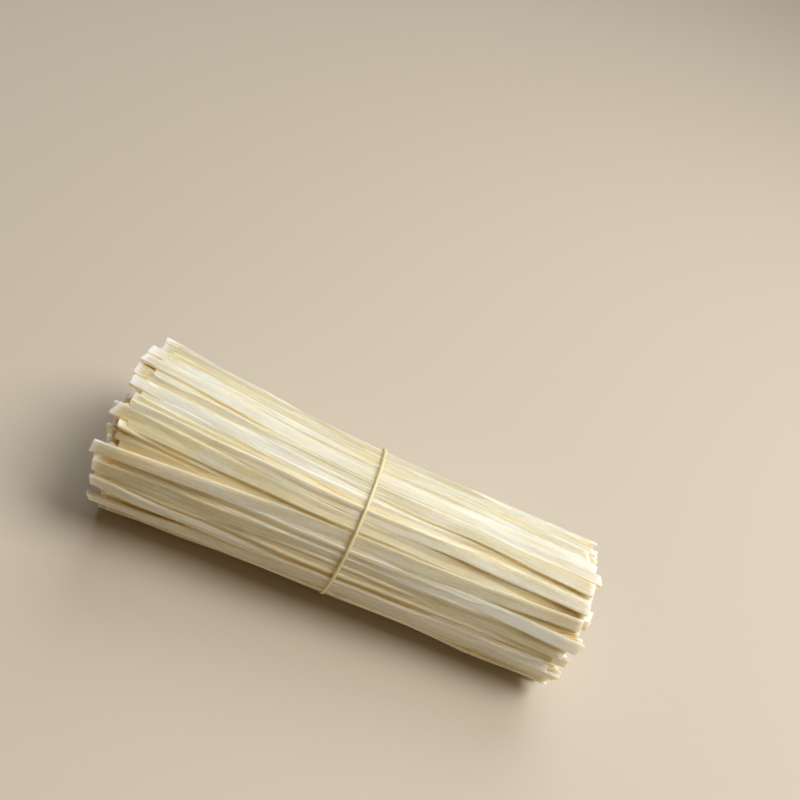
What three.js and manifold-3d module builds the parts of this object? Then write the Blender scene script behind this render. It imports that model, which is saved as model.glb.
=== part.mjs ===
// A bundle of flat dried corn noodles lying on its side, held round its waist by one rubber band.
// Millimetres, +Z up and +X along the noodles. The origin is on the surface that the bundle lies on,
// under the middle of its bounding box. The left end, at -X, fans out more than the right end.
import * as THREE from "three";
import { mergeVertices } from "three/addons/utils/BufferGeometryUtils.js";
import Module from "manifold-3d";

const wasm = await Module();
wasm.setup();

// Driving dimensions
const noodle = { count: 250, length: 200, width: 5.1, thickness: 1.6 };
const waist = { width: 63, height: 57, lift: 2, bottomShare: 0.92, roundness: 2.2 };
const fan = { left: 0.16, right: -0.04, swing: 4, bendShare: 0.15 };
const band = { width: 1.7, thickness: 1, clearance: 0.3, slant: 0.068, corners: 48, chamfer: 0.25 };
const core = { depth: 1.3, setBack: 8.2, showing: 0.5, sides: 18, steps: 2 };
const flatUnderneath = 0.4;

// How unlike one another the noodles are
const uneven = { width: 0.35, thickness: 0.12, lean: 7, twist: 0.6, proud: 2.5 };
const ragged = { slip: 3.2, longSlip: 5.5, longEvery: 9 };

// Shares of the half length at which the noodles are packed, in order from left to right
const stations = [-1, -0.5, 0, 0.5, 1];
const waistStation = 2;
const lastStation = 4;
const halfLength = noodle.length / 2;
const halfWidth = waist.width / 2;
const halfHeight = waist.height / (1 + waist.bottomShare);
const coreEnd = halfLength - core.setBack;

// Repeatable random numbers from 0 to 1, and from -amount to amount
let randomState = 7;
function random() {
  randomState = (Math.imul(randomState, 1664525) + 1013904223) >>> 0;
  return randomState / 2 ** 32;
}
const spread = (amount) => (2 * random() - 1) * amount;

// 0 at the waist and 1 at an end, nearly straight outside the bend under the band
function opening(u) {
  const bend = fan.bendShare;
  return (Math.hypot(u, bend) - bend) / (Math.hypot(1, bend) - bend);
}

// The bundle's cross-section at a share u of the half length: its size against the waist, and its centre
function sectionAt(u) {
  const scale = 1 + (u < 0 ? fan.left : fan.right) * opening(u);
  return {
    scale,
    y: u < 0 ? fan.swing * opening(u) : 0,
    z: waist.bottomShare * halfHeight * scale + waist.lift * (1 - opening(u)),
  };
}

// How far a point of the waist's cross-section is out, 1 on its rounded outline
function outness(y, z) {
  const power = waist.roundness;
  return ((Math.abs(y) / halfWidth) ** power + (Math.abs(z) / halfHeight) ** power) ** (1 / power);
}

// Noodles before packing: spread like seeds in a flower head, the outer ones lying along the outline
// and the inner ones turned by slow waves over the cross-section
const seeds = { spreadY: 0.92, spreadZ: 0.88, outerFrom: 0.75, outerTurn: 0.5, innerTurn: 0.6 };
const waves = { turnY: 1.6, overY: 9, turnZ: 1.4, overZ: 7 };

function scatter() {
  const goldenAngle = Math.PI * (3 - Math.sqrt(5));
  return Array.from({ length: noodle.count }, (_, i) => {
    const radius = Math.sqrt((i + 0.5) / noodle.count);
    const angle = i * goldenAngle;
    const y = seeds.spreadY * halfWidth * radius * Math.cos(angle);
    const z = seeds.spreadZ * halfHeight * radius * Math.sin(angle);
    const along = Math.atan2(halfHeight * Math.cos(angle), -halfWidth * Math.sin(angle));
    const wave = waves.turnY * Math.sin(y / waves.overY) + waves.turnZ * Math.cos(z / waves.overZ);
    return {
      y,
      z,
      angle: radius > seeds.outerFrom ? along + spread(seeds.outerTurn) : wave + spread(seeds.innerTurn),
      width: noodle.width + spread(uneven.width),
      thickness: noodle.thickness + spread(uneven.thickness),
      leanY: spread(uneven.lean),
      leanZ: spread(uneven.lean),
      twist: spread(uneven.twist),
      proud: uneven.proud * random(),
      slips: [slip(i), 0, 0, 0, slip(i)],
    };
  });
}

// How far a noodle's end lies beyond the nominal length, or short of it
function slip(i) {
  return spread(i % ragged.longEvery === 0 ? ragged.longSlip : ragged.slip);
}

// Pushes flat strips apart until they no longer overlap inside the outline at u. Each strip is a row of
// discs, a little thicker than the strip for its corners. At the waist the discs grow from startSize
// while the strips swell outwards. Elsewhere the strips lean and twist by their share of the step in u.
const packing = { rounds: 300, growth: 200, swell: 0.0008, gentle: 0.35, startSize: 0.45 };
const discRow = { count: 4, skin: 0.26, reach: 4, relistRounds: 10 };

function pack(strips, u, step, startSize) {
  const { scale } = sectionAt(u);
  const discs = strips.flatMap((_, owner) =>
    Array.from({ length: discRow.count }, (_, k) => ({ owner, share: (2 * k) / (discRow.count - 1) - 1 })),
  );
  let pairs = [];
  for (let round = 0; round < packing.rounds; round++) {
    const grown = Math.min(1, round / packing.growth);
    const size = startSize + (1 - startSize) * grown;
    const swell = size < 1 ? 1 + packing.swell : 1;
    const drift = grown < 1 ? step / packing.growth : 0;
    for (const disc of discs) {
      const { y, z, angle, width, thickness } = strips[disc.owner];
      const arm = (disc.share * size * (width - thickness)) / 2;
      disc.armY = arm * Math.cos(angle);
      disc.armZ = arm * Math.sin(angle);
      disc.y = y + disc.armY;
      disc.z = z + disc.armZ;
      disc.radius = size * (thickness / 2 + discRow.skin);
    }
    if (round % discRow.relistRounds === 0) pairs = nearPairs(discs);
    const moves = strips.map(() => ({ y: 0, z: 0, turn: 0 }));
    const push = (disc, y, z) => {
      const move = moves[disc.owner];
      move.y += y;
      move.z += z;
      move.turn += disc.armY * z - disc.armZ * y;
    };
    for (const [a, b] of pairs) {
      const y = a.y - b.y;
      const z = a.z - b.z;
      const gap = Math.hypot(y, z);
      const overlap = a.radius + b.radius - gap;
      if (overlap <= 0 || gap === 0) continue;
      const half = overlap / gap / 2;
      push(a, y * half, z * half);
      push(b, -y * half, -z * half);
    }
    for (const disc of discs) {
      const inset = scale + (opening(u) * strips[disc.owner].proud - disc.radius) / halfHeight;
      const out = outness(disc.y, disc.z) / inset;
      if (out > 1) push(disc, disc.y / out - disc.y, disc.z / out - disc.z);
      const below = disc.radius - waist.bottomShare * halfHeight * scale - disc.z;
      if (below > 0) push(disc, 0, below);
    }
    strips.forEach((strip, i) => {
      strip.y = strip.y * swell + strip.leanY * drift + packing.gentle * moves[i].y;
      strip.z = strip.z * swell + strip.leanZ * drift + packing.gentle * moves[i].z;
      strip.angle += strip.twist * drift + (packing.gentle * moves[i].turn) / (strip.width ** 2 / 6);
    });
  }
  return strips;
}

// Pairs of discs of different strips that may meet in the next rounds
function nearPairs(discs) {
  const pairs = [];
  discs.forEach((a, i) => {
    for (const b of discs.slice(i + 1)) {
      if (a.owner !== b.owner && Math.hypot(a.y - b.y, a.z - b.z) < discRow.reach) pairs.push([a, b]);
    }
  });
  return pairs;
}

// Packs the noodles at the waist, then carries that packing outwards from station to station.
// A noodle's route is its strip at every station.
function layNoodles() {
  const packed = [];
  packed[waistStation] = pack(scatter(), 0, 0, packing.startSize);
  const carry = (from, to) => {
    const grown = sectionAt(stations[to]).scale / sectionAt(stations[from]).scale;
    const strips = packed[from].map((strip) => ({ ...strip, y: strip.y * grown, z: strip.z * grown }));
    packed[to] = pack(strips, stations[to], stations[to] - stations[from], 1);
  };
  for (let station = waistStation; station > 0; station--) carry(station, station - 1);
  for (let station = waistStation; station < lastStation; station++) carry(station, station + 1);
  return packed[waistStation].map((_, i) => packed.map((strips) => strips[i]));
}

// A point of a noodle at a station, across and through from -1 to 1 over its width and thickness
function stationPoint(route, station, across, through) {
  const strip = route[station];
  const section = sectionAt(stations[station]);
  const a = (across * strip.width) / 2;
  const t = (through * strip.thickness) / 2;
  return new THREE.Vector3(
    stations[station] * halfLength + strip.slips[station],
    section.y + strip.y + a * Math.cos(strip.angle) - t * Math.sin(strip.angle),
    section.z + strip.z + a * Math.sin(strip.angle) + t * Math.cos(strip.angle),
  );
}

// The same for any place along a noodle, from 0 at its left end to lastStation at its right end
function noodlePoint(route, place, across, through) {
  const station = Math.min(Math.floor(place), lastStation - 1);
  const start = stationPoint(route, station, across, through);
  return start.lerp(stationPoint(route, station + 1, across, through), place - station);
}

// Closed solid of a geometry whose points are moved by a function
function solidOf(geometry, place) {
  const points = geometry.attributes.position;
  const point = new THREE.Vector3();
  for (let i = 0; i < points.count; i++) {
    points.setXYZ(i, ...place(point.fromBufferAttribute(points, i)));
  }
  geometry.deleteAttribute("normal");
  geometry.deleteAttribute("uv");
  const merged = mergeVertices(geometry, 1e-4);
  return new wasm.Manifold(
    new wasm.Mesh({
      numProp: 3,
      vertProperties: merged.attributes.position.array,
      triVerts: new Uint32Array(merged.index.array),
    }),
  );
}

// How far the core reaches from the section's centre towards a direction y, z
function coreReach(u, y, z) {
  const { scale } = sectionAt(u);
  const length = Math.hypot(y, z);
  const rounded = (scale * length) / outness(y, z) - core.depth;
  const floor = waist.bottomShare * halfHeight * scale - core.depth;
  return z < 0 ? Math.min(rounded, (floor * length) / -z) : rounded;
}

// The core is a cylinder along X, its rings drawn out to the bundle's cross-section
function coreSolid() {
  return solidOf(new THREE.CylinderGeometry(1, 1, 2, core.sides, core.steps), (ring) => {
    const u = (ring.y * coreEnd) / halfLength;
    const section = sectionAt(u);
    const onAxis = Math.hypot(ring.x, ring.z) < 0.5;
    const reach = onAxis ? 0 : coreReach(u, ring.z, ring.x);
    return new THREE.Vector3(ring.y * coreEnd, section.y + ring.z * reach, section.z + ring.x * reach);
  });
}

// A noodle between two places along it
function noodleSolid(route, from, to, steps) {
  return solidOf(new THREE.BoxGeometry(1, 2, 2, steps, 1, 1), ({ x, y, z }) =>
    noodlePoint(route, from + (x + 0.5) * (to - from), y, z),
  );
}

// The four corners of a noodle at a station
function cornersAt(route, station) {
  return [-1, 1].flatMap((across) => [-1, 1].map((through) => stationPoint(route, station, across, through)));
}

// Whether a noodle stands out of the core's side anywhere
function showsOnSide(route) {
  return stations.some((u, station) => {
    const section = sectionAt(u);
    return cornersAt(route, station).some((corner) => {
      const y = corner.y - section.y;
      const z = corner.z - section.z;
      return Math.hypot(y, z) > coreReach(u, y, z) + core.showing;
    });
  });
}

// Everything below the surface that the bundle lies on, which flattens the lowest noodles a little
function groundSolid() {
  const size = 3 * noodle.length;
  return solidOf(new THREE.BoxGeometry(size, size, size), ({ x, y, z }) =>
    new THREE.Vector3(x, y, z - size / 2 + flatUnderneath),
  );
}

// The places along a noodle where it meets the core's left and right end
function placesAtCoreEnds(route) {
  const x = (station) => stationPoint(route, station, 0, 0).x;
  return {
    left: (-coreEnd - x(0)) / (x(1) - x(0)),
    right: lastStation - (x(lastStation) - coreEnd) / (x(lastStation) - x(lastStation - 1)),
  };
}

// The outer noodles run their whole length, and the inner ones only stand on the core's two ends.
// Of the fused pieces the largest is kept, without hollows or scraps.
function bundleSolid(routes) {
  const pieces = routes.flatMap((route) => {
    if (showsOnSide(route)) return [noodleSolid(route, 0, lastStation, core.steps)];
    const { left, right } = placesAtCoreEnds(route);
    return [noodleSolid(route, 0, left, 1), noodleSolid(route, right, lastStation, 1)];
  });
  const fused = pieces.reduce((whole, piece) => whole.add(piece), coreSolid());
  const bodies = fused.subtract(groundSolid()).decompose();
  return bodies.sort((a, b) => b.volume() - a.volume())[0];
}

// The rubber band lies round the corners of the noodles at the waist, stretched straight between them.
// It sits a little askew, its top further to the right than its bottom.
function bandSolid(routes) {
  const corners = routes.flatMap((route) => cornersAt(route, waistStation));
  const ring = (away) =>
    Array.from({ length: band.corners }, (_, i) => {
      const angle = (2 * Math.PI * i) / band.corners;
      const side = new THREE.Vector2(Math.cos(angle), Math.sin(angle));
      const reach = (corner) => corner.y * side.x + corner.z * side.y;
      const outer = corners.reduce((best, corner) => (reach(corner) > reach(best) ? corner : best));
      return new THREE.Vector2(outer.y, outer.z).addScaledVector(side, away);
    });
  const outline = new THREE.Shape(ring(band.clearance + band.thickness - band.chamfer));
  outline.holes.push(new THREE.Path(ring(band.clearance + band.chamfer)));
  const loop = new THREE.ExtrudeGeometry(outline, {
    depth: band.width - 2 * band.chamfer,
    bevelSize: band.chamfer,
    bevelThickness: band.chamfer,
    bevelSegments: 1,
  });
  const halfDepth = band.width / 2 - band.chamfer;
  const middleHeight = sectionAt(0).z;
  return solidOf(loop, ({ x, y, z }) =>
    new THREE.Vector3(z - halfDepth + band.slant * (y - middleHeight), x, y),
  );
}

// A closed solid as a named mesh
function meshOf(name, solid, color, roughness) {
  const { vertProperties, triVerts } = solid.getMesh();
  const geometry = new THREE.BufferGeometry();
  geometry.setAttribute("position", new THREE.BufferAttribute(vertProperties, 3));
  geometry.setIndex(new THREE.BufferAttribute(triVerts, 1));
  geometry.computeVertexNormals();
  const mesh = new THREE.Mesh(geometry, new THREE.MeshStandardMaterial({ color, roughness, metalness: 0 }));
  mesh.name = name;
  return mesh;
}

const routes = layNoodles();
const whole = new THREE.Group();
whole.add(meshOf("noodle_bundle", bundleSolid(routes), "#ddd0aa", 0.5));
whole.add(meshOf("rubber_band", bandSolid(routes), "#d8b867", 0.4));
const middle = new THREE.Box3().setFromObject(whole).getCenter(new THREE.Vector3());
whole.position.set(-middle.x, -middle.y, -flatUnderneath);
export default whole;
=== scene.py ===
import math

import bmesh
import bpy
import numpy as np
from mathutils import Matrix, Vector


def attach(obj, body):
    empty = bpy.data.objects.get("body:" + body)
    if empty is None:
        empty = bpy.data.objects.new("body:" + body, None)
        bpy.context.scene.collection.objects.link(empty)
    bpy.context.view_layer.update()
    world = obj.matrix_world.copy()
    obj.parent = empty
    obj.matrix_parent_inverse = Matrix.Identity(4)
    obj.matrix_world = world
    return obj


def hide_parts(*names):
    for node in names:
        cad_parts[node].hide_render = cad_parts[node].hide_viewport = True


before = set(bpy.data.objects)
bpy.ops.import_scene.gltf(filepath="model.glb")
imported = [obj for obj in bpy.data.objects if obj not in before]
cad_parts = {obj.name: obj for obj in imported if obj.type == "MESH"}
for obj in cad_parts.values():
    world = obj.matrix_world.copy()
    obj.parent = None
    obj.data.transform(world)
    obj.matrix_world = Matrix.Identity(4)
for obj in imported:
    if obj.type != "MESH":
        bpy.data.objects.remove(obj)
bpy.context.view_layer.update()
mm = 0.001

# a bundle of flat dried noodles on its side, with one rubber band round its waist


class Wire:
    # a socket of a node tree that takes part in Python expressions
    def __init__(self, tree, socket=None):
        self.tree = tree
        self.socket = socket

    def node(self, kind, settings, sockets, output=0):
        made = self.tree.nodes.new(kind)
        for name, value in settings.items():
            if name == "stops":
                self.setStops(made.color_ramp, value)
            else:
                setattr(made, name, value)
        for name, value in sockets.items():
            if isinstance(value, Wire):
                self.tree.links.new(value.socket, made.inputs[name])
            else:
                made.inputs[name].default_value = value
        return Wire(self.tree, made.outputs[output])

    def setStops(self, ramp, stops):
        while len(ramp.elements) < len(stops):
            ramp.elements.new(0.5)
        for element, (place, colour) in zip(ramp.elements, stops):
            element.position = place
            element.color = colour

    def math(self, operation, first, second):
        return self.node("ShaderNodeMath", {"operation": operation}, {0: first, 1: second})

    def __add__(self, other):
        return self.math("ADD", self, other)

    def __radd__(self, other):
        return self.math("ADD", other, self)

    def __sub__(self, other):
        return self.math("SUBTRACT", self, other)

    def __rsub__(self, other):
        return self.math("SUBTRACT", other, self)

    def __mul__(self, other):
        return self.math("MULTIPLY", self, other)

    def __rmul__(self, other):
        return self.math("MULTIPLY", other, self)

    def swing(self, amount):
        # a pattern that adds as much as it takes away
        return (self - 0.5) * amount

    def rise(self, low, high):
        # 0 below low, 1 above high, smooth between
        settings = {"interpolation_type": "SMOOTHSTEP"}
        return self.node("ShaderNodeMapRange", settings, {0: self, 1: low, 2: high, 3: 0.0, 4: 1.0})

    def mixed(self, first, second):
        # this value mixes two colours
        return self.node("ShaderNodeMix", {"data_type": "RGBA"}, {0: self, 6: first, 7: second}, 2)

    def noise(self, stretch, detail, roughness=0.5):
        # soft noise over a place that is stretched along its axes
        settings = {"operation": "MULTIPLY"}
        stretched = self.node("ShaderNodeVectorMath", settings, {0: self, 1: stretch})
        sockets = {"Vector": stretched, "Scale": 1.0, "Detail": detail, "Roughness": roughness}
        return self.node("ShaderNodeTexNoise", {"noise_dimensions": "3D"}, sockets)

    def bumped(self, strength, depth):
        sockets = {"Height": self, "Strength": strength, "Distance": depth * mm}
        return self.node("ShaderNodeBump", {}, sockets)


def srgb(red, green, blue):
    # a colour as a picture editor shows it, 0 to 255
    def linear(value):
        share = value / 255
        return share / 12.92 if share <= 0.04045 else ((share + 0.055) / 1.055) ** 2.4

    return (linear(red), linear(green), linear(blue), 1.0)


def newFinish(name):
    finish = bpy.data.materials.new(name)
    finish.use_nodes = True
    shader = next(node for node in finish.node_tree.nodes if node.type == "BSDF_PRINCIPLED")
    return finish, shader, Wire(finish.node_tree)


def feed(wire, shader, name):
    wire.tree.links.new(wire.socket, shader.inputs[name])


def letLightIn(shader, weight, radius, depth):
    # radius is for red, green and blue, as shares of the depth in millimetres
    shader.inputs["Subsurface Weight"].default_value = weight
    shader.inputs["Subsurface Radius"].default_value = radius
    shader.inputs["Subsurface Scale"].default_value = depth * mm


def newPiece(name, mesh, finish):
    mesh.materials.append(finish)
    piece = bpy.data.objects.new(name, mesh)
    bpy.context.scene.collection.objects.link(piece)
    return piece


# How the noodles lie, in millimetres: the rule that the bundle's own solid follows
bundle = {
    "count": 250,
    "length": 200.0,
    "width": 5.1,
    "thickness": 1.6,
    "waistWidth": 63.0,
    "waistHeight": 57.0,
    "lift": 2.0,  # of the waist, over the floor
    "bottomShare": 0.92,
    "roundness": 2.2,
    "fanLeft": 0.16,
    "fanRight": -0.04,
    "swing": 4.0,
    "bend": 0.15,
    "flatUnderneath": 0.4,
    "stations": (-1.0, -0.5, 0.0, 0.5, 1.0),  # shares of the half length, from left to right
    "firstDraw": 7,
}
uneven = {"width": 0.35, "thickness": 0.12, "lean": 7.0, "twist": 0.6, "proud": 2.5}
ragged = {"slip": 3.2, "longSlip": 5.5, "longEvery": 9}
seeds = {"spreadY": 0.92, "spreadZ": 0.88, "outerFrom": 0.75, "outerTurn": 0.5, "innerTurn": 0.6}
waves = {"turnY": 1.6, "overY": 9.0, "turnZ": 1.4, "overZ": 7.0}
packing = {"rounds": 300, "growth": 200, "swell": 0.0008, "gentle": 0.35, "turnEase": 6, "startSize": 0.45}
discRow = {"count": 4, "skin": 0.26, "reach": 4.0, "relistRounds": 10, "leastGap": 1e-9}
generator = {"times": 1664525, "plus": 1013904223, "size": 2**32}

waist = 2  # the middle station
halfLength = bundle["length"] / 2
halfWidth = bundle["waistWidth"] / 2
halfHeight = bundle["waistHeight"] / (1 + bundle["bottomShare"])


def drawsFrom(state):
    # repeatable random numbers from 0 to 1
    while True:
        state = (state * generator["times"] + generator["plus"]) % generator["size"]
        yield state / generator["size"]


draws = drawsFrom(bundle["firstDraw"])


def spread(amount):
    return (2 * next(draws) - 1) * amount


def opening(u):
    # 0 at the waist and 1 at an end
    bend = bundle["bend"]
    return (math.hypot(u, bend) - bend) / (math.hypot(1, bend) - bend)


def sectionAt(u):
    # the cross-section's size against the waist, and its centre
    scale = 1 + (bundle["fanLeft"] if u < 0 else bundle["fanRight"]) * opening(u)
    y = bundle["swing"] * opening(u) if u < 0 else 0.0
    z = bundle["bottomShare"] * halfHeight * scale + bundle["lift"] * (1 - opening(u))
    return scale, y, z


def outness(y, z):
    # 1 on the waist's rounded outline
    power = bundle["roundness"]
    return ((np.abs(y) / halfWidth) ** power + (np.abs(z) / halfHeight) ** power) ** (1 / power)


def slip(i):
    # how far a noodle's end lies beyond the nominal length, or short of it
    return spread(ragged["longSlip"] if i % ragged["longEvery"] == 0 else ragged["slip"])


def scatterNoodles():
    # spread like seeds in a flower head, the outer ones lying along the outline
    rows = []
    for i in range(bundle["count"]):
        radius = math.sqrt((i + 0.5) / bundle["count"])
        angle = i * math.pi * (3 - math.sqrt(5))
        y = seeds["spreadY"] * halfWidth * radius * math.cos(angle)
        z = seeds["spreadZ"] * halfHeight * radius * math.sin(angle)
        outline = math.atan2(halfHeight * math.cos(angle), -halfWidth * math.sin(angle))
        wave = waves["turnY"] * math.sin(y / waves["overY"])
        wave += waves["turnZ"] * math.cos(z / waves["overZ"])
        outer = radius > seeds["outerFrom"]
        row = {"y": y, "z": z}
        row["angle"] = outline + spread(seeds["outerTurn"]) if outer else wave + spread(seeds["innerTurn"])
        row["width"] = bundle["width"] + spread(uneven["width"])
        row["thickness"] = bundle["thickness"] + spread(uneven["thickness"])
        row["leanY"] = spread(uneven["lean"])
        row["leanZ"] = spread(uneven["lean"])
        row["twist"] = spread(uneven["twist"])
        row["proud"] = uneven["proud"] * next(draws)
        row["slipLeft"] = slip(i)
        row["slipRight"] = slip(i)
        rows.append(row)
    return {key: np.array([row[key] for row in rows]) for key in rows[0]}


def packStrips(strips, u, step, startSize):
    # pushes the strips apart as rows of discs until none overlap inside the outline at u
    scale = sectionAt(u)[0]
    count = bundle["count"]
    gentle = packing["gentle"]
    owner = np.repeat(np.arange(count), discRow["count"])
    shares = np.linspace(-1, 1, discRow["count"])
    for turn in range(packing["rounds"]):
        grown = min(1.0, turn / packing["growth"])
        size = startSize + (1 - startSize) * grown
        swell = 1 + packing["swell"] if size < 1 else 1.0
        drift = step / packing["growth"] if grown < 1 else 0.0
        arm = np.outer(strips["width"] - strips["thickness"], shares).ravel() * size / 2
        armY = arm * np.cos(strips["angle"])[owner]
        armZ = arm * np.sin(strips["angle"])[owner]
        y = strips["y"][owner] + armY
        z = strips["z"][owner] + armZ
        radius = (size * (strips["thickness"] / 2 + discRow["skin"]))[owner]
        if turn % discRow["relistRounds"] == 0:
            near = np.hypot(y[:, None] - y, z[:, None] - z) < discRow["reach"]
            first, second = np.nonzero(np.triu(near & (owner[:, None] != owner), 1))
        apartY = y[first] - y[second]
        apartZ = z[first] - z[second]
        gap = np.hypot(apartY, apartZ)
        half = np.maximum(radius[first] + radius[second] - gap, 0) / np.maximum(gap, discRow["leastGap"]) / 2
        pushY = np.bincount(first, apartY * half, len(y)) - np.bincount(second, apartY * half, len(y))
        pushZ = np.bincount(first, apartZ * half, len(y)) - np.bincount(second, apartZ * half, len(y))
        inset = scale + (opening(u) * strips["proud"][owner] - radius) / halfHeight
        out = np.maximum(outness(y, z) / inset, 1)
        pushY += y / out - y
        pushZ += z / out - z
        pushZ += np.maximum(radius - bundle["bottomShare"] * halfHeight * scale - z, 0)
        turnBy = np.bincount(owner, armY * pushZ - armZ * pushY, count)
        strips["y"] = strips["y"] * swell + strips["leanY"] * drift
        strips["y"] += gentle * np.bincount(owner, pushY, count)
        strips["z"] = strips["z"] * swell + strips["leanZ"] * drift
        strips["z"] += gentle * np.bincount(owner, pushZ, count)
        strips["angle"] = strips["angle"] + strips["twist"] * drift
        strips["angle"] += gentle * turnBy / (strips["width"] ** 2 / packing["turnEase"])
    return strips


def layNoodles():
    # the strips at every station, packed at the waist and carried outwards from there
    stations = bundle["stations"]
    packed = {waist: packStrips(scatterNoodles(), stations[waist], 0.0, packing["startSize"])}
    for start, end in ((waist, 1), (1, 0), (waist, 3), (3, 4)):
        grown = sectionAt(stations[end])[0] / sectionAt(stations[start])[0]
        strips = dict(packed[start])
        strips["y"] = strips["y"] * grown
        strips["z"] = strips["z"] * grown
        packed[end] = packStrips(strips, stations[end], stations[end] - stations[start], 1.0)
    return [packed[station] for station in range(len(stations))]


laid = layNoodles()
sections = [sectionAt(u) for u in bundle["stations"]]
stationY = np.array([section[1] + strips["y"] for section, strips in zip(sections, laid)])
stationZ = np.array([section[2] + strips["z"] for section, strips in zip(sections, laid)])
stationAngle = np.array([strips["angle"] for strips in laid])
stationX = np.array(bundle["stations"])[:, None] * halfLength + np.zeros(bundle["count"])
stationX[0] += laid[0]["slipLeft"]
stationX[-1] += laid[0]["slipRight"]
widths = laid[0]["width"]
thicknesses = laid[0]["thickness"]


def halfReach(strips):
    # half the space that each noodle takes along Y
    flat = np.abs(np.cos(strips["angle"]))
    upright = np.abs(np.sin(strips["angle"]))
    return (flat * strips["width"] + upright * strips["thickness"]) / 2


# the whole part stands centred on its box, so the noodles move there
reachY = np.array([halfReach(strips) for strips in laid])
middleX = (stationX.min() + stationX.max()) / 2
middleY = ((stationY - reachY).min() + (stationY + reachY).max()) / 2
stationX -= middleX
stationY -= middleY
stationZ -= bundle["flatUnderneath"]
print("laid", bundle["count"], "noodles, moved by", -middleX, -middleY)

# The core: shorter noodles just under the outer ones, lapping up between them most at the waist
core = {
    "count": 46,
    "width": 6.2,
    "under": 1.3,  # the bundle's outline
    "dive": 0.4,  # how much deeper at the ends
    "above": 3.6,  # the least height over the bottom of the section
    "uneven": 0.42,
    "lap": 0.36,  # a turn about the strip's length, in radians
    "endLap": 0.2,
    "turnedBack": 0.35,
    "setBack": 3.5,
    "vary": (0.6, 1.4),  # each lap and set-back is taken this many times
    "chalkFree": 3.0,
    "toneShare": 0.8,
    "seed": 4,
}


def coreStrips():
    random = np.random.default_rng(core["seed"])
    count = core["count"]
    around = np.arange(count) * 2 * math.pi / count
    under = core["under"] + random.uniform(-1, 1, count) * core["uneven"]
    lap = random.uniform(*core["vary"], count)
    lap[random.uniform(0, 1, count) < core["turnedBack"]] *= -1
    flat = np.cos(around) * halfWidth
    upright = np.sin(around) * halfHeight
    reach = 1 / outness(flat, upright)
    outline = np.arctan2(np.cos(around) * halfHeight, -np.sin(around) * halfWidth)
    y, z, angle = [], [], []
    for u, (scale, middleOfY, middleOfZ) in zip(bundle["stations"], sections):
        angle.append(outline + lap * (core["lap"] + (core["endLap"] - core["lap"]) * opening(u)))
        size = (scale - (under + core["dive"] * opening(u)) / halfHeight) * reach
        y.append(middleOfY + flat * size - middleY)
        lowest = core["above"] - bundle["bottomShare"] * halfHeight * scale
        z.append(middleOfZ + np.maximum(upright * size, lowest) - bundle["flatUnderneath"])
    x = np.array(bundle["stations"])[:, None] * halfLength + np.zeros(count) - middleX
    x[0] += core["setBack"] * random.uniform(*core["vary"], count)
    x[-1] -= core["setBack"] * random.uniform(*core["vary"], count)
    return x, np.array(y), np.array(z), np.array(angle)


coreX, coreY, coreZ, coreAngle = coreStrips()
stationX = np.hstack([stationX, coreX])
stationY = np.hstack([stationY, coreY])
stationZ = np.hstack([stationZ, coreZ])
stationAngle = np.hstack([stationAngle, coreAngle])
widths = np.append(widths, np.full(core["count"], core["width"]))
thicknesses = np.append(thicknesses, np.full(core["count"], bundle["thickness"]))

# One straight noodle, in millimetres, before it is bent along its way through the bundle
strand = {
    "rounding": 0.5,
    "swollen": 0.2,  # at each side, to close the gaps that the packing leaves
    "shownRounding": 2,
    "hiddenRounding": 1,
    "shownSteps": 22,
    "hiddenSteps": 6,
    "shownFrom": 0.75,  # how far out a noodle lies, against the outline
    "sideCut": 1.6,
    "closeTo": 0.001,  # near enough to an end to lie on it
    "endFacing": 0.9,
    "endInset": 0.35,
    "endBulge": 0.14,
    "sharpFrom": 48.0,
    "hollow": 0.14,
    "swings": 6,
    "swingLengths": (38.0, 85.0),
    "waviness": 0.32,
    "ripple": 0.03,
    "twist": 0.1,
    "overlap": 0.4,
    "endFrom": 0.9999,
    "endTilt": 0.14,
    "endChip": 0.35,
    "middleChip": 0.4,  # the share that the middle of an end has, against its corners
    "offFloor": 0.02,
    "apart": 40.0,  # between the noodles' places in the patterns
    "seed": 11,
}
# Where a noodle lies on the map that its finish is baked to, in shares
bakeSheet = {
    "endWidth": 0.03,
    "endAcross": 0.46,
    "endUp": 0.48,
    "sideAlong": 0.465,
    "sideUp": 0.98,
    "sideFrom": 0.01,
    "shownColumns": 4,
    "hiddenColumns": 8,
    "shownTo": 0.86,
    "gap": 0.003,
}


def straightNoodle(steps, rounding, cutSides):
    shape = bmesh.new()
    bmesh.ops.create_cube(shape, size=1.0)
    size = (bundle["length"], bundle["width"] + 2 * strand["swollen"], bundle["thickness"])
    bmesh.ops.scale(shape, vec=size, verts=shape.verts)
    bmesh.ops.bevel(
        shape,
        geom=[edge for edge in shape.edges if edge.calc_length() > halfLength],
        offset=strand["rounding"],
        offset_type="OFFSET",
        affect="EDGES",
        segments=rounding,
        profile=0.5,
        material=-1,
    )
    shape.normal_update()
    ends = [face for face in shape.faces if abs(face.normal.x) > strand["endFacing"]]
    bmesh.ops.inset_individual(
        shape, faces=ends, thickness=strand["endInset"], depth=strand["endBulge"], use_even_offset=True
    )
    if cutSides:
        for side in (-strand["sideCut"], strand["sideCut"]):
            every = shape.verts[:] + shape.edges[:] + shape.faces[:]
            bmesh.ops.bisect_plane(shape, geom=every, plane_co=(0, side, 0), plane_no=(0, 1, 0))
    longEdges = [edge for edge in shape.edges if edge.calc_length() > halfLength]
    bmesh.ops.subdivide_edges(shape, edges=longEdges, cuts=steps - 1, use_grid_fill=True)
    bmesh.ops.recalc_face_normals(shape, faces=shape.faces)
    return shape


def ringKey(spot):
    return round(spot.y, 3), round(spot.z, 3)


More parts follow.
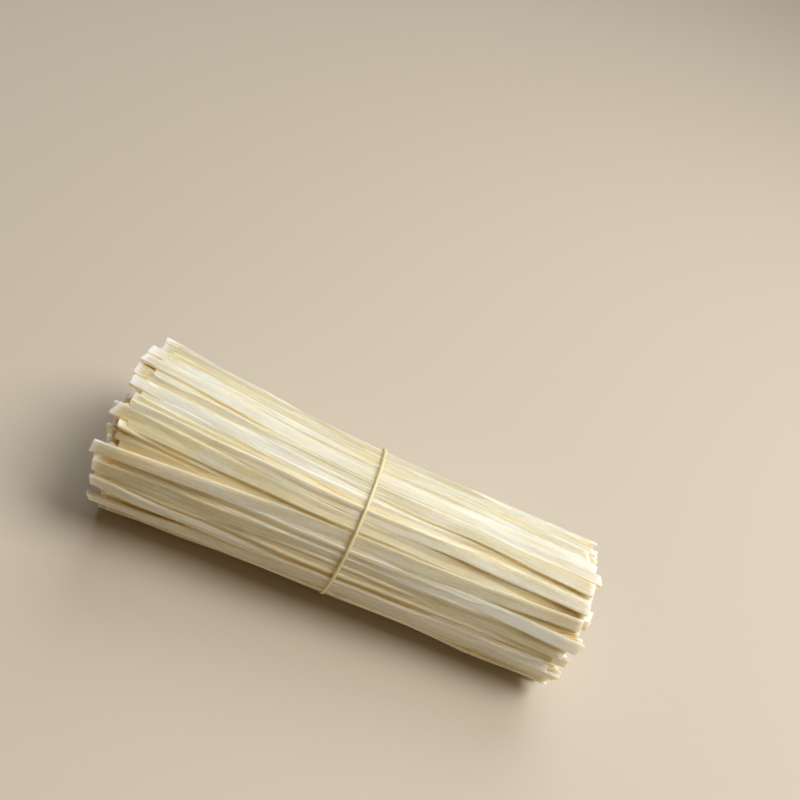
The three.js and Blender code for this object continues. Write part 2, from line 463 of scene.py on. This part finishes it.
def stripMap(shape):
    # where each face corner lies on a flat map of one noodle, 0 to 1: its side unrolled in the
    # middle, and its two cut ends at the map's left and right
    ring = [vert for vert in shape.verts if abs(vert.co.x + halfLength) < strand["closeTo"]]
    ring.sort(key=lambda vert: math.atan2(vert.co.z, vert.co.y))
    around = {}
    run = 0.0
    for vert, following in zip(ring, ring[1:] + ring[:1]):
        around[ringKey(vert.co)] = run
        run += (following.co - vert.co).length
    places = []
    for face in shape.faces:
        spots = [loop.vert.co for loop in face.loops]
        if all(abs(spot.x) > halfLength - strand["closeTo"] for spot in spots):
            for spot in spots:
                across = 0.5 + bakeSheet["endAcross"] * spot.z / (bundle["thickness"] / 2)
                up = 0.5 + bakeSheet["endUp"] * spot.y / (bundle["width"] / 2)
                left = 0.0 if spot.x < 0 else 1 - bakeSheet["endWidth"]
                places.append((left + across * bakeSheet["endWidth"], up))
            continue
        runs = [around[ringKey(spot)] / run for spot in spots]
        overSeam = max(runs) - min(runs) > 0.5
        for spot, share in zip(spots, runs):
            turned = 1.0 if overSeam and share < 0.5 else share
            beside = 0.5 + bakeSheet["sideAlong"] * spot.x / halfLength
            places.append((beside, bakeSheet["sideFrom"] + bakeSheet["sideUp"] * turned))
    return np.array(places)


def asArrays(shape):
    shape.verts.index_update()
    points = np.array([vert.co for vert in shape.verts])
    corners = np.array([loop.vert.index for face in shape.faces for loop in face.loops])
    sizes = np.array([len(face.loops) for face in shape.faces])
    arrays = {"points": points, "corners": corners, "sizes": sizes, "map": stripMap(shape)}
    shape.free()
    return arrays


def along(values, place):
    # a smooth curve through one noodle's values at the stations, which place counts from the left
    slopes = np.gradient(values)
    start = np.minimum(place.astype(int), len(values) - 2)
    t = place - start
    bent = (2 * t**3 - 3 * t**2 + 1) * values[start] + (3 * t**2 - 2 * t**3) * values[start + 1]
    return bent + (t**3 - 2 * t**2 + t) * slopes[start] + (t**3 - t**2) * slopes[start + 1]


def bentNoodle(i, straight, random):
    # one noodle's points on its way through the bundle, in millimetres
    x, across, through = straight["points"].T
    share = np.clip(x / halfLength, -1, 1)
    beyond = x - share * halfLength
    place = waist * (share + 1)
    reach = across / (bundle["width"] / 2)
    loose = np.sqrt(np.abs(share))  # the band holds the noodles still at the waist
    phases = random.uniform(0, 2 * math.pi, strand["swings"])
    lengths = random.uniform(*strand["swingLengths"], strand["swings"])
    swings = [np.sin(2 * math.pi * x / length + phase) for length, phase in zip(lengths, phases)]
    across = across * widths[i] / bundle["width"] * (1 + strand["ripple"] * swings[0])
    through = through * thicknesses[i] / bundle["thickness"]
    through = through * (1 + strand["ripple"] * swings[1] - strand["hollow"] * (1 - reach**2))
    angle = along(stationAngle[:, i], place) + strand["twist"] * loose * swings[2]
    # some noodles lie a little over their neighbours, others a little under
    sideY, sideZ = np.cos(stationAngle[:, i]), np.sin(stationAngle[:, i])
    over = strand["overlap"] * random.uniform(-1, 1)
    y = along(stationY[:, i] - over * sideZ, place) + strand["waviness"] * loose * swings[3]
    z = along(stationZ[:, i] + over * sideY, place) + strand["waviness"] * loose * swings[4]
    # the cut ends are a little askew and chipped
    atEnd = np.abs(share) > strand["endFrom"]
    tilts = random.normal(0, strand["endTilt"], 2)
    tilt = np.where(share < 0, tilts[0], tilts[1])
    depths = strand["middleChip"] + (1 - strand["middleChip"]) * reach**2
    chips = random.normal(0, strand["endChip"], len(x)) * depths
    broken = np.where(atEnd, tilt * across - np.sign(share) * np.abs(chips), 0)
    points = np.empty((len(x), 3))
    points[:, 0] = np.interp(place, np.arange(len(sections)), stationX[:, i]) + beyond + broken
    points[:, 1] = y + across * np.cos(angle) - through * np.sin(angle)
    points[:, 2] = np.maximum(z + across * np.sin(angle) + through * np.cos(angle), strand["offFloor"])
    return points


coverGrid = {"slices": 21, "sectors": 120, "middles": 41}


def coveredBy(points):
    # how far the noodles round about reach out past each point, in millimetres
    u = np.clip((points[:, 0] + middleX) / halfLength, -1, 1)
    steps = np.linspace(-1, 1, coverGrid["middles"])
    middlesY = np.interp(u, steps, [sectionAt(step)[1] for step in steps])
    middlesZ = np.interp(u, steps, [sectionAt(step)[2] for step in steps])
    y = points[:, 1] + middleY - middlesY
    z = points[:, 2] + bundle["flatUnderneath"] - middlesZ
    out = outness(y, z) * halfHeight
    sectorCount = coverGrid["sectors"]
    slices = ((u + 1) * (coverGrid["slices"] - 1) / 2).astype(int)
    sectors = ((np.arctan2(z, y) / math.pi + 1) * sectorCount / 2).astype(int) % sectorCount
    reach = np.zeros((coverGrid["slices"], sectorCount))
    np.maximum.at(reach, (slices, sectors), out)
    reach = np.maximum(reach, np.maximum(np.roll(reach, 1, axis=1), np.roll(reach, -1, axis=1)))
    return reach[slices, sectors] - out


def bakePlaces(shown):
    # a part of the bake's map for each noodle, larger for those that show
    places = np.zeros((len(shown), 4))
    shownTo = bakeSheet["shownTo"]
    groups = (
        (shown, bakeSheet["shownColumns"], 0.0, shownTo),
        (~shown, bakeSheet["hiddenColumns"], shownTo, 1.0),
    )
    for group, columns, low, high in groups:
        members = np.nonzero(group)[0]
        rows = math.ceil(len(members) / columns)
        width = 1 / columns
        height = (high - low) / rows
        for order, i in enumerate(members):
            corner = (order % columns * width, low + order // columns * height)
            places[i] = (*corner, width - bakeSheet["gap"], height - bakeSheet["gap"])
    return places


def joinNoodles():
    # all the noodles' arrays, one noodle after another
    random = np.random.default_rng(strand["seed"])
    outs = [outness(strips["y"], strips["z"]) / section[0] for section, strips in zip(sections, laid)]
    shown = np.append(np.max(outs, axis=0) > strand["shownFrom"], np.ones(core["count"], bool))
    fine = asArrays(straightNoodle(strand["shownSteps"], strand["shownRounding"], True))
    coarse = asArrays(straightNoodle(strand["hiddenSteps"], strand["hiddenRounding"], False))
    bakes = bakePlaces(shown)
    kinds = ("points", "corners", "sizes", "bakeMap", "strandPlace", "cutAway", "tone")
    parts = {kind: [] for kind in kinds}
    first = 0
    for i in range(len(shown)):
        straight = fine if shown[i] else coarse
        inCore = i >= bundle["count"]
        away = halfLength - np.abs(straight["points"][:, 0])
        parts["points"].append(bentNoodle(i, straight, random))
        parts["corners"].append(straight["corners"] + first)
        parts["sizes"].append(straight["sizes"])
        parts["bakeMap"].append(bakes[i, :2] + straight["map"] * bakes[i, 2:])
        parts["strandPlace"].append(straight["points"] + (0, 0, strand["apart"] * i))
        parts["cutAway"].append(np.maximum(away, core["chalkFree"] if inCore else 0.0))
        tone = random.uniform() * (core["toneShare"] if inCore else 1.0)
        parts["tone"].append(np.full(len(away), tone))
        first += len(away)
    joined = {kind: np.concatenate(parts[kind]) for kind in kinds}
    joined["cover"] = coveredBy(joined["points"])
    print("noodles that show:", int(shown.sum()), "triangles:", int((joined["sizes"] - 2).sum()))
    return joined


def noodleMesh(joined):
    mesh = bpy.data.meshes.new("noodles")
    mesh.vertices.add(len(joined["points"]))
    mesh.vertices.foreach_set("co", (joined["points"] * mm).ravel())
    mesh.loops.add(len(joined["corners"]))
    mesh.loops.foreach_set("vertex_index", joined["corners"])
    mesh.polygons.add(len(joined["sizes"]))
    mesh.polygons.foreach_set("loop_start", np.cumsum(joined["sizes"]) - joined["sizes"])
    mesh.update(calc_edges=True)
    mesh.validate()
    mesh.shade_smooth()
    mesh.set_sharp_from_angle(angle=math.radians(strand["sharpFrom"]))
    mesh.uv_layers.new(name="OFBake").data.foreach_set("uv", joined["bakeMap"].ravel())
    place = mesh.attributes.new("strandPlace", "FLOAT_VECTOR", "POINT")
    place.data.foreach_set("vector", joined["strandPlace"].ravel())
    for name in ("cutAway", "tone", "cover"):
        mesh.attributes.new(name, "FLOAT", "POINT").data.foreach_set("value", joined[name])
    return mesh


# Patterns on a noodle: their stretch along, across and through it, their detail and roughness
patterns = {
    "streaks": ((0.012, 0.9, 0.9), 3.0, 0.5),
    "threads": ((0.014, 1.7, 1.7), 2.0, 0.5),
    "clouds": ((0.05, 0.32, 0.32), 4.0, 0.6),
    "frost": ((0.55, 1.2, 1.2), 3.0, 0.6),
    "grain": ((2.2, 3.0, 3.0), 1.0, 0.5),
}
noodleLook = {
    "pale": srgb(240, 240, 230),
    "straw": srgb(227, 223, 204),
    "golden": srgb(209, 196, 150),
    # painted shade where other noodles cover a noodle: golden, then darker golden brown deeper in
    "inside": srgb(220, 200, 146),
    "paintedDeepShade": srgb(205, 168, 96),
    # painted glow along a noodle's two edges
    "edge": srgb(240, 237, 219),
    "cutEnd": srgb(250, 247, 240),
    "stops": (0.1, 0.5, 0.9),
    "shade": {"start": 0.02, "streaks": 0.6, "threads": 0.4, "clouds": 0.9, "frost": 0.4},
    "edgeGlowAt": (3.6, 6.4),  # squares of the distance from the middle
    "edgeGlowShare": 0.4,
    # how far other noodles cover a point, in millimetres, as the painted shade comes in
    "insideAt": (0.2, 2.0),
    "deepShadeAt": (1.6, 5.0),
    "paintedShadeShare": 0.75,
    "paintedShadeLines": 0.5,
    "soundAt": (0.5, 6.0),  # from the cut end
    "chalkTo": 3.2,
    "chalkRagged": 2.8,
    "chalkShare": 0.9,
    "rough": {"middle": 0.42, "streaks": 0.3, "frost": 0.3, "chalk": 0.3},
    "relief": {"threads": 0.2, "streaks": 0.9, "frost": 0.35, "grain": 0.1},
    "bump": 0.6,
    "streakDepth": 0.1,
    "gloss": 0.5,
    "lightIn": (1.0, 0.8, 0.45),
    "lightDepth": 4.0,
}


def noodleFinish():
    look = noodleLook
    finish, shader, start = newFinish("dried_noodle")
    place = start.node("ShaderNodeAttribute", {"attribute_name": "strandPlace"}, {}, "Vector")
    tone = start.node("ShaderNodeAttribute", {"attribute_name": "tone"}, {}, "Fac")
    away = start.node("ShaderNodeAttribute", {"attribute_name": "cutAway"}, {}, "Fac")
    cover = start.node("ShaderNodeAttribute", {"attribute_name": "cover"}, {}, "Fac")
    streaks, threads, clouds, frost, grain = [place.noise(*pattern) for pattern in patterns.values()]
    # each noodle has its own tone, with lengthwise lines, slow clouds and a frosted face
    parts = look["shade"]
    lines = streaks.swing(parts["streaks"]) + threads.swing(parts["threads"])
    shade = parts["start"] + tone + lines + clouds.swing(parts["clouds"]) + frost.swing(parts["frost"])
    stops = tuple(zip(look["stops"], (look["golden"], look["straw"], look["pale"])))
    body = shade.node("ShaderNodeValToRGB", {"stops": stops}, {"Fac": shade})
    # painted glow: the two edges are painted paler, as if more light came through them
    across = place.node("ShaderNodeSeparateXYZ", {}, {0: place}, "Y")
    edge = (across * across).rise(*look["edgeGlowAt"])
    body = (edge * look["edgeGlowShare"]).mixed(body, look["edge"])
    # painted shade between the noodles: golden where other noodles cover them and darker golden brown deeper
    # in, standing in for the light that comes through them, but none near their cut ends
    sound = away.rise(*look["soundAt"])
    lined = lines * look["paintedShadeLines"]
    gapShadeMask = cover.rise(*look["insideAt"]) * sound * (look["paintedShadeShare"] + lined)
    body = gapShadeMask.mixed(body, look["inside"])
    deepShadeMask = cover.rise(*look["deepShadeAt"]) * sound * (look["paintedShadeShare"] - lined)
    body = deepShadeMask.mixed(body, look["paintedDeepShade"])
    # dry and chalky where it was cut
    chalk = 1 - (away + grain.swing(look["chalkRagged"])).rise(0.0, look["chalkTo"])
    feed((chalk * look["chalkShare"]).mixed(body, look["cutEnd"]), shader, "Base Color")
    parts = look["rough"]
    rough = parts["middle"] + streaks.swing(parts["streaks"]) + frost.swing(parts["frost"])
    feed(rough + chalk * parts["chalk"], shader, "Roughness")
    parts = look["relief"]
    relief = threads * parts["threads"] + streaks * parts["streaks"]
    relief = relief + frost * parts["frost"] + grain * parts["grain"]
    feed(relief.bumped(look["bump"], look["streakDepth"]), shader, "Normal")
    shader.inputs["Specular IOR Level"].default_value = look["gloss"]
    shader.subsurface_method = "BURLEY"
    letLightIn(shader, 1.0, look["lightIn"], look["lightDepth"])
    return finish


joinedNoodles = joinNoodles()
noodles = newPiece("noodles", noodleMesh(joinedNoodles), noodleFinish())
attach(noodles, "root")
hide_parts("noodle_bundle")


# The rubber band, in millimetres, stretched straight between the outermost noodles at the waist
band = {
    "width": 1.4,
    "thickness": 0.9,
    "over": 12.0,  # how far to each side of the band the noodles count
    "pressed": 0.3,  # into the noodles that it touches
    "slant": 0.068,
    "corners": 240,
    "leastFacing": 0.2,
    "rounding": 0.34,
    "roundingSteps": 2,
    "colour": srgb(246, 231, 176),
    "paler": srgb(250, 240, 204),
    "lines": ((2600.0, 90.0, 90.0), 2.0),  # stretch over a metre, and detail
    "patches": ((110.0, 110.0, 110.0), 3.0),
    "worn": (0.38, 0.66),
    "rough": 0.34,
    "roughPatches": 0.22,
    "patchRelief": 0.4,
    "bump": 0.5,
    "bumpDepth": 0.04,
    "lightShare": 0.25,
    "lightIn": (1.0, 0.8, 0.4),
    "lightDepth": 0.8,
}


def bandReach(near, sides):
    # how far out a tight loop round the nearby noodles lies, towards each side
    farthest = (near @ sides.T).max(axis=0)
    facing = sides @ sides.T
    least = band["leastFacing"]
    reach = np.where(facing > least, farthest / np.maximum(facing, least), np.inf).min(axis=1)
    return (np.roll(reach, 1) + reach + np.roll(reach, -1)) / 3 - band["pressed"]


def bandMesh(points):
    centre = np.array((sections[waist][1] - middleY, sections[waist][2] - bundle["flatUnderneath"]))
    near = points[np.abs(points[:, 0] + middleX) < band["over"]][:, 1:] - centre
    shape = bmesh.new()
    bmesh.ops.create_circle(shape, segments=band["corners"], radius=1.0)
    sides = np.array([(vert.co.x, vert.co.y) for vert in shape.verts])
    inner = bandReach(near, sides)

    def lay(ring, sideways, away):
        for vert, out, side in zip(ring, inner, sides):
            y, z = centre + side * (out + away)
            vert.co = (sideways - middleX + band["slant"] * (z - centre[1]), y, z)

    def onwards(vert, fresh):
        # the new corner that was drawn out of this one
        others = [edge.other_vert(vert) for edge in vert.link_edges]
        return next(other for other in others if other in fresh)

    half = band["width"] / 2
    rings = [shape.verts[:]]
    firstEdges = shape.edges[:]
    edges = firstEdges
    lay(rings[0], -half, 0.0)
    for sideways, away in ((-half, band["thickness"]), (half, band["thickness"]), (half, 0.0)):
        made = bmesh.ops.extrude_edge_only(shape, edges=edges)["geom"]
        fresh = {part for part in made if isinstance(part, bmesh.types.BMVert)}
        drawn = [part for part in made if isinstance(part, bmesh.types.BMEdge)]
        edges = [edge for edge in drawn if fresh.issuperset(edge.verts)]
        rings.append([onwards(vert, fresh) for vert in rings[-1]])
        lay(rings[-1], sideways, away)
    bmesh.ops.bridge_loops(shape, edges=firstEdges + edges)
    bmesh.ops.recalc_face_normals(shape, faces=shape.faces)
    ringSets = [set(ring) for ring in rings]
    hoops = [edge for edge in shape.edges if any(ring.issuperset(edge.verts) for ring in ringSets)]
    bmesh.ops.bevel(
        shape,
        geom=hoops,
        offset=band["rounding"],
        offset_type="OFFSET",
        affect="EDGES",
        segments=band["roundingSteps"],
        profile=0.5,
        material=-1,
    )
    bmesh.ops.scale(shape, vec=(mm, mm, mm), verts=shape.verts)
    mesh = bpy.data.meshes.new("band")
    shape.to_mesh(mesh)
    shape.free()
    mesh.shade_smooth()
    return mesh


def bandFinish():
    finish, shader, start = newFinish("rubber")
    place = start.node("ShaderNodeTexCoord", {}, {}, "Object")
    lines = place.noise(*band["lines"])
    patches = place.noise(*band["patches"])
    worn = (lines * 0.5 + patches * 0.5).rise(*band["worn"])
    feed(worn.mixed(band["colour"], band["paler"]), shader, "Base Color")
    feed(band["rough"] + patches * band["roughPatches"], shader, "Roughness")
    relief = lines + patches * band["patchRelief"]
    feed(relief.bumped(band["bump"], band["bumpDepth"]), shader, "Normal")
    letLightIn(shader, band["lightShare"], band["lightIn"], band["lightDepth"])
    return finish


rubberBand = newPiece("band", bandMesh(joinedNoodles["points"]), bandFinish())
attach(rubberBand, "root")
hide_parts("rubber_band")
print("band made")


# Floor, light and camera, in metres
studio = {
    "floor": srgb(218, 206, 187),
    "floorReach": 12.0,
    "floorRough": 0.9,
    "floorGloss": 0.1,
    "world": (1.0, 0.7, 0.4, 1.0),
    "worldStrength": 0.1,
    "aim": (0, 0, 0.03),
    "key": {
        "from": (0.5, 0.08, 0.9),
        "away": 1.2,
        "size": 0.77,
        "power": 11.3,
        "colour": (1.0, 0.99, 0.985),
    },
    "sheen": {
        "from": (0.1, 0.8, 0.8),
        "away": 1.0,
        "spread": 40.0,
        "power": 1.15,
        "colour": (0.86, 0.94, 1.0),
    },
}


def floorPlane():
    shape = bmesh.new()
    bmesh.ops.create_grid(shape, x_segments=1, y_segments=1, size=studio["floorReach"])
    mesh = bpy.data.meshes.new("floor")
    shape.to_mesh(mesh)
    shape.free()
    finish, shader, _ = newFinish("pale_floor")
    shader.inputs["Base Color"].default_value = studio["floor"]
    shader.inputs["Roughness"].default_value = studio["floorRough"]
    shader.inputs["Specular IOR Level"].default_value = studio["floorGloss"]
    floor = newPiece("floor", mesh, finish)


def softLight(name, look, light):
    light.energy = look["power"]
    light.color = look["colour"]
    lamp = bpy.data.objects.new(name, light)
    towards = Vector(look["from"]).normalized()
    lamp.location = Vector(studio["aim"]) + towards * look["away"]
    lamp.rotation_euler = towards.to_track_quat("Z", "Y").to_euler()
    bpy.context.scene.collection.objects.link(lamp)


def lampsOn():
    key = bpy.data.lights.new("key", "AREA")
    key.shape = "DISK"
    key.size = studio["key"]["size"]
    softLight("key", studio["key"], key)
    sheen = bpy.data.lights.new("sheen", "SUN")  # lights the floor evenly as far as it is seen
    sheen.angle = math.radians(studio["sheen"]["spread"])
    softLight("sheen", studio["sheen"], sheen)
    world = bpy.data.worlds.new("studio")
    world.use_nodes = True
    sky = world.node_tree.nodes["Background"]
    sky.inputs["Color"].default_value = studio["world"]
    sky.inputs["Strength"].default_value = studio["worldStrength"]
    bpy.context.scene.world = world
    bpy.context.scene.view_settings.view_transform = "Standard"
    print("lamps on")


# the view of the photograph, its frame taken as 800 by 800
view = {
    "azimuth": 3.58,
    "elevation": 46.0,
    "roll": 24.77,
    "distance": 0.36063,
    "focal": 843.36,  # in pixels of the frame
    "frame": 800.0,
    "sensor": 36.0,  # in millimetres
    "nearest": 0.01,
    "spot": (0.0, -0.001, 0.030),
    "spotSeenAt": (355.29, 513.5),
}


def placeCamera():
    azimuth = math.radians(view["azimuth"])
    elevation = math.radians(view["elevation"])
    forward = Vector((math.sin(azimuth), math.cos(azimuth), 0)) * math.cos(elevation)
    forward.z = -math.sin(elevation)
    level = Vector((math.cos(azimuth), -math.sin(azimuth), 0))
    turn = Matrix.Rotation(-math.radians(view["roll"]), 3, forward)
    right = turn @ level
    up = right.cross(forward)
    middle = view["frame"] / 2
    offRight = (view["spotSeenAt"][0] - middle) / view["focal"]
    offDown = (view["spotSeenAt"][1] - middle) / view["focal"]
    towards = forward + right * offRight - up * offDown
    camera = bpy.data.cameras.new("camera")
    camera.sensor_width = view["sensor"]
    camera.lens = view["focal"] * camera.sensor_width / view["frame"]
    camera.clip_start = view["nearest"]
    holder = bpy.data.objects.new("camera", camera)
    turned = Matrix((right, up, -forward)).transposed().to_4x4()
    turned.translation = Vector(view["spot"]) - towards * view["distance"]
    holder.matrix_world = turned
    bpy.context.scene.collection.objects.link(holder)
    bpy.context.scene.camera = holder
    print("camera at", [round(value, 4) for value in turned.translation])


floorPlane()
lampsOn()
placeCamera()
